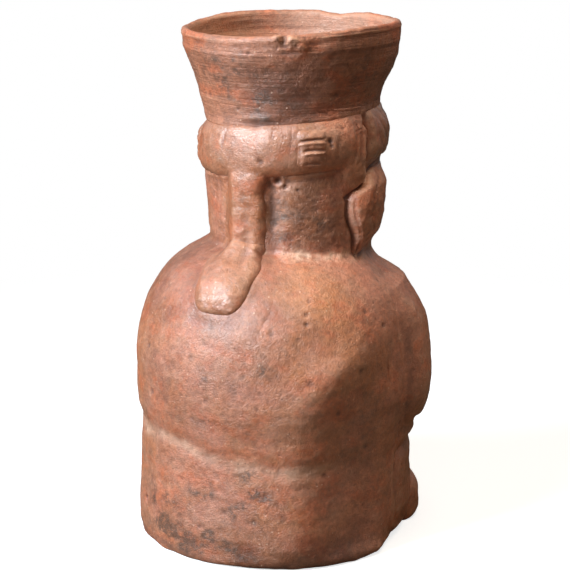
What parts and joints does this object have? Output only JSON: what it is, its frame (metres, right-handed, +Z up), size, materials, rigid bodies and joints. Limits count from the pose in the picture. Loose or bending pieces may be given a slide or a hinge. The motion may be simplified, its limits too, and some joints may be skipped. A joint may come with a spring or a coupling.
{
  "type": "figural vessel",
  "caption": "Fired-clay jar shaped as a seated figure: round hollow body, head as the neck with a rolled headband, and a flaring open rim.",
  "frame": {"origin": "centre of the round body's axis on the flat underside of the base", "axes": "+Z up from the base to the rim, -Y the way the figure faces, +X the figure's left"},
  "size_m": [0.1456, 0.1444, 0.25],
  "materials": {
    "fired_clay": "burnished red-brown earthenware, worn",
    "smoked_clay": "wiped earthenware with smoke stains",
    "pale_slip_clay": "burnished earthenware with a worn pale slip"
  },
  "bodies": {
    "root": {"hip_back_wall": "fired_clay", "hip_front_wall": "fired_clay", "belly_back_wall": "fired_clay", "belly_front_wall": "fired_clay", "neck_back_wall": "fired_clay", "neck_front_wall": "fired_clay", "nose": "fired_clay", "mouth": "fired_clay", "right_ear": "fired_clay", "right_side_lock": "fired_clay", "right_eye": "fired_clay", "right_arm": "fired_clay", "right_hand": "fired_clay", "right_leg": "fired_clay", "right_foot": "fired_clay", "left_ear": "fired_clay", "left_side_lock": "fired_clay", "left_eye": "fired_clay", "left_arm": "fired_clay", "left_hand": "fired_clay", "left_leg": "fired_clay", "left_foot": "fired_clay", "base_slab": "smoked_clay", "rim_collar": "smoked_clay", "headband_back": "pale_slip_clay", "headband_front": "pale_slip_clay", "headcloth_tail": "pale_slip_clay", "right_clasp": "pale_slip_clay", "left_clasp": "pale_slip_clay"}
  },
  "joints": []
}
